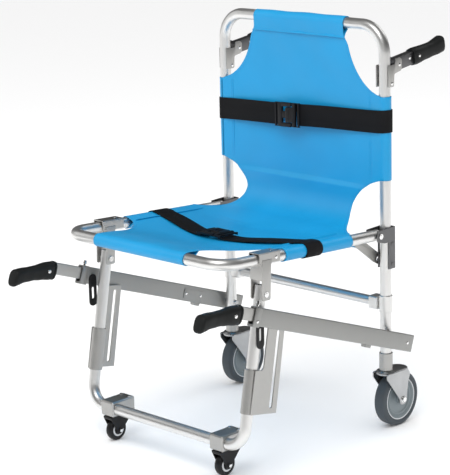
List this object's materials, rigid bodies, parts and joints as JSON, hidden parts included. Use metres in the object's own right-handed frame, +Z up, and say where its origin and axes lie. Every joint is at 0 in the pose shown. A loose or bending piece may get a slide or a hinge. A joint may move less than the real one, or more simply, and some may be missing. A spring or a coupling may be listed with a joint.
{
  "type": "stair chair",
  "caption": "Folding stair chair: round-tube frame with a blue fabric sling, safety straps, casters, sloping carrying rails and folding rear handles.",
  "frame": {"origin": "middle of the chair's bounding box, on the floor", "axes": "+Z up, +X to the sitter's left, -Y to the front"},
  "size_m": [0.561, 0.8594, 0.92],
  "materials": {
    "anodised_tube": "satin anodised round tube",
    "satin_aluminium": "matte grey extrusion and plate",
    "dark_bracket": "dark zinc plate",
    "zinc_steel": "bright zinc",
    "black_plastic": "moulded, fine grain",
    "grip_rubber": "moulded, matte",
    "grey_tyre": "matte dark grey",
    "grey_hub": "moulded grey-blue",
    "sling_fabric": "coated blue cloth, slight sheen",
    "webbing": "woven black strap"
  },
  "bodies": {
    "back": {"back_frame": "anodised_tube", "back_sling": "sling_fabric", "caster_socket_left": "satin_aluminium", "caster_socket_right": "satin_aluminium", "chest_buckle": "black_plastic", "chest_strap": "webbing", "handle_bracket_left": "satin_aluminium", "handle_bracket_right": "satin_aluminium", "rail_pivot_bolt_left": "zinc_steel", "rail_pivot_bolt_right": "zinc_steel", "rear_crossbar": "anodised_tube", "seat_bracket_left": "dark_bracket", "seat_bracket_right": "dark_bracket", "seat_pivot_bolt_left": "zinc_steel", "seat_pivot_bolt_right": "zinc_steel"},
    "seat": {"lap_buckle": "black_plastic", "lap_strap": "webbing", "leg_bracket_left": "satin_aluminium", "leg_bracket_right": "satin_aluminium", "leg_pivot_bolt_left": "zinc_steel", "leg_pivot_bolt_right": "zinc_steel", "seat_frame": "anodised_tube", "seat_sling": "sling_fabric"},
    "legs": {"front_caster_block_left": "satin_aluminium", "front_caster_block_right": "satin_aluminium", "leg_frame": "anodised_tube", "strut_left": "satin_aluminium", "strut_right": "satin_aluminium"},
    "latch": {"latch_hook_left": "satin_aluminium", "latch_hook_right": "satin_aluminium", "latch_rod": "zinc_steel"},
    "rail_right": {"carry_rail_right": "satin_aluminium"},
    "front_handle_right": {"front_grip_right": "grip_rubber", "sliding_bar_right": "satin_aluminium"},
    "stop_plunger_right": {"stop_pin_right": "zinc_steel"},
    "bar_lock_right": {"lock_lever_right": "black_plastic"},
    "rear_caster_right": {"rear_axle_right": "zinc_steel", "rear_fork_right": "zinc_steel"},
    "rear_wheel_right": {"rear_hub_right": "grey_hub", "rear_tyre_right": "grey_tyre"},
    "front_caster_right": {"front_fork_right": "black_plastic"},
    "front_roller_right": {"front_wheel_right": "black_plastic"},
    "top_handle_right": {"handle_arm_right": "satin_aluminium", "handle_grip_right": "grip_rubber"},
    "rail_left": {"carry_rail_left": "satin_aluminium"},
    "front_handle_left": {"front_grip_left": "grip_rubber", "sliding_bar_left": "satin_aluminium"},
    "stop_plunger_left": {"stop_pin_left": "zinc_steel"},
    "bar_lock_left": {"lock_lever_left": "black_plastic"},
    "rear_caster_left": {"rear_axle_left": "zinc_steel", "rear_fork_left": "zinc_steel"},
    "rear_wheel_left": {"rear_hub_left": "grey_hub", "rear_tyre_left": "grey_tyre"},
    "front_caster_left": {"front_fork_left": "black_plastic"},
    "front_roller_left": {"front_wheel_left": "black_plastic"},
    "top_handle_left": {"handle_arm_left": "satin_aluminium", "handle_grip_left": "grip_rubber"}
  },
  "joints": [
    {"name": "seat_fold", "type": "hinge", "parent": "back", "child": "seat", "pos_m": [0, 0.19663, 0.452], "axis": [-1, 0, 0], "range_deg": [0, 80]},
    {"name": "leg_fold", "type": "hinge", "parent": "seat", "child": "legs", "pos_m": [0, -0.1687, 0.399], "axis": [1, 0, 0], "range_deg": [0, 88]},
    {"name": "latch_release", "type": "hinge", "parent": "seat", "child": "latch", "pos_m": [0, 0.15038, 0.44845], "axis": [-1, 0, 0], "range_deg": [0, 25], "stiffness_Nm_per_rad": 0.2, "springref_deg": -28.65},
    {"name": "rail_fold_right", "type": "hinge", "parent": "back", "child": "rail_right", "pos_m": [-0.2655, 0.23063, 0.2095], "axis": [-1, 0, 0], "range_deg": [0, 52]},
    {"name": "front_handle_slide_right", "type": "slide", "parent": "rail_right", "child": "front_handle_right", "axis": [0, -0.9438, 0.3305], "range_m": [-0.038, 0.122]},
    {"name": "stop_pin_pull_right", "type": "slide", "parent": "rail_right", "child": "stop_plunger_right", "axis": [0, 0.3305, 0.9438], "range_m": [0, 0.005], "stiffness_N_per_m": 200, "springref_m": -0.003},
    {"name": "bar_lock_swing_right", "type": "hinge", "parent": "rail_right", "child": "bar_lock_right", "pos_m": [-0.2562, -0.19419, 0.35191], "axis": [-1, 0, 0], "range_deg": [0, 22]},
    {"name": "rear_caster_swivel_right", "type": "hinge", "parent": "back", "child": "rear_caster_right", "pos_m": [-0.24, 0.23063, 0.1365], "axis": [0, 0, 1], "continuous": true},
    {"name": "rear_wheel_spin_right", "type": "hinge", "parent": "rear_caster_right", "child": "rear_wheel_right", "pos_m": [-0.24, 0.26563, 0.0625], "axis": [1, 0, 0], "continuous": true},
    {"name": "front_caster_swivel_right", "type": "hinge", "parent": "legs", "child": "front_caster_right", "pos_m": [-0.17, -0.20137, 0.0598], "axis": [0, 0, 1], "continuous": true},
    {"name": "front_roller_spin_right", "type": "hinge", "parent": "front_caster_right", "child": "front_roller_right", "pos_m": [-0.17, -0.21937, 0.025], "axis": [1, 0, 0], "continuous": true},
    {"name": "top_handle_fold_right", "type": "hinge", "parent": "back", "child": "top_handle_right", "pos_m": [-0.24, 0.26363, 0.822], "axis": [-1, 0, 0], "range_deg": [0, 84]},
    {"name": "rail_fold_left", "type": "hinge", "parent": "back", "child": "rail_left", "pos_m": [0.2655, 0.23063, 0.2095], "axis": [-1, 0, 0], "range_deg": [0, 52]},
    {"name": "front_handle_slide_left", "type": "slide", "parent": "rail_left", "child": "front_handle_left", "axis": [0, -0.9438, 0.3305], "range_m": [0, 0.16]},
    {"name": "stop_pin_pull_left", "type": "slide", "parent": "rail_left", "child": "stop_plunger_left", "axis": [0, 0.3305, 0.9438], "range_m": [0, 0.005], "stiffness_N_per_m": 200, "springref_m": -0.003},
    {"name": "bar_lock_swing_left", "type": "hinge", "parent": "rail_left", "child": "bar_lock_left", "pos_m": [0.2562, -0.19419, 0.35191], "axis": [-1, 0, 0], "range_deg": [0, 22]},
    {"name": "rear_caster_swivel_left", "type": "hinge", "parent": "back", "child": "rear_caster_left", "pos_m": [0.24, 0.23063, 0.1365], "axis": [0, 0, 1], "continuous": true},
    {"name": "rear_wheel_spin_left", "type": "hinge", "parent": "rear_caster_left", "child": "rear_wheel_left", "pos_m": [0.24, 0.26563, 0.0625], "axis": [1, 0, 0], "continuous": true},
    {"name": "front_caster_swivel_left", "type": "hinge", "parent": "legs", "child": "front_caster_left", "pos_m": [0.17, -0.20137, 0.0598], "axis": [0, 0, 1], "continuous": true},
    {"name": "front_roller_spin_left", "type": "hinge", "parent": "front_caster_left", "child": "front_roller_left", "pos_m": [0.17, -0.21937, 0.025], "axis": [1, 0, 0], "continuous": true},
    {"name": "top_handle_fold_left", "type": "hinge", "parent": "back", "child": "top_handle_left", "pos_m": [0.24, 0.26363, 0.822], "axis": [-1, 0, 0], "range_deg": [0, 84]}
  ],
  "couplings": [
    {"joint": "leg_fold", "follows": "seat_fold", "ratio": 1.1},
    {"joint": "rail_fold_right", "follows": "seat_fold", "ratio": 0.65},
    {"joint": "rail_fold_left", "follows": "seat_fold", "ratio": 0.65}
  ]
}
